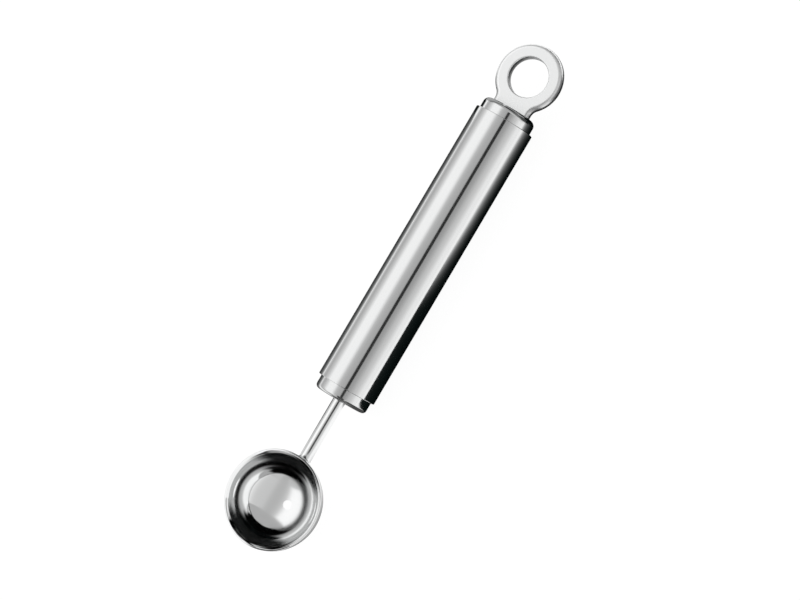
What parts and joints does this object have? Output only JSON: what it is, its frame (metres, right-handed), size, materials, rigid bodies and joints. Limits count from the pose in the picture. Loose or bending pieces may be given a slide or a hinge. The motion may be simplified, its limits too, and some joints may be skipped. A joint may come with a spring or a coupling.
{
  "type": "melon baller",
  "caption": "Steel melon baller: a half-ball scoop on a round shank, a hollow tube handle and a flat hanging ring.",
  "frame": {"origin": "on the surface that the tool lies on, under the middle of its length and width", "axes": "+X along the handle towards the hanging ring, +Z the way the bowl opens, +Y across the tool"},
  "size_m": [0.1732, 0.0306, 0.019],
  "materials": {
    "handle_tube": "fine satin",
    "front_cap": "fine satin",
    "rear_cap": "fine satin",
    "hanging_ring": "satin",
    "shank": "polished",
    "scoop_bowl": "mirror polished"
  },
  "bodies": {
    "root": {"handle_tube": "handle_tube", "front_cap": "front_cap", "rear_cap": "rear_cap", "hanging_ring": "hanging_ring", "shank": "shank", "scoop_bowl": "scoop_bowl"}
  },
  "joints": []
}
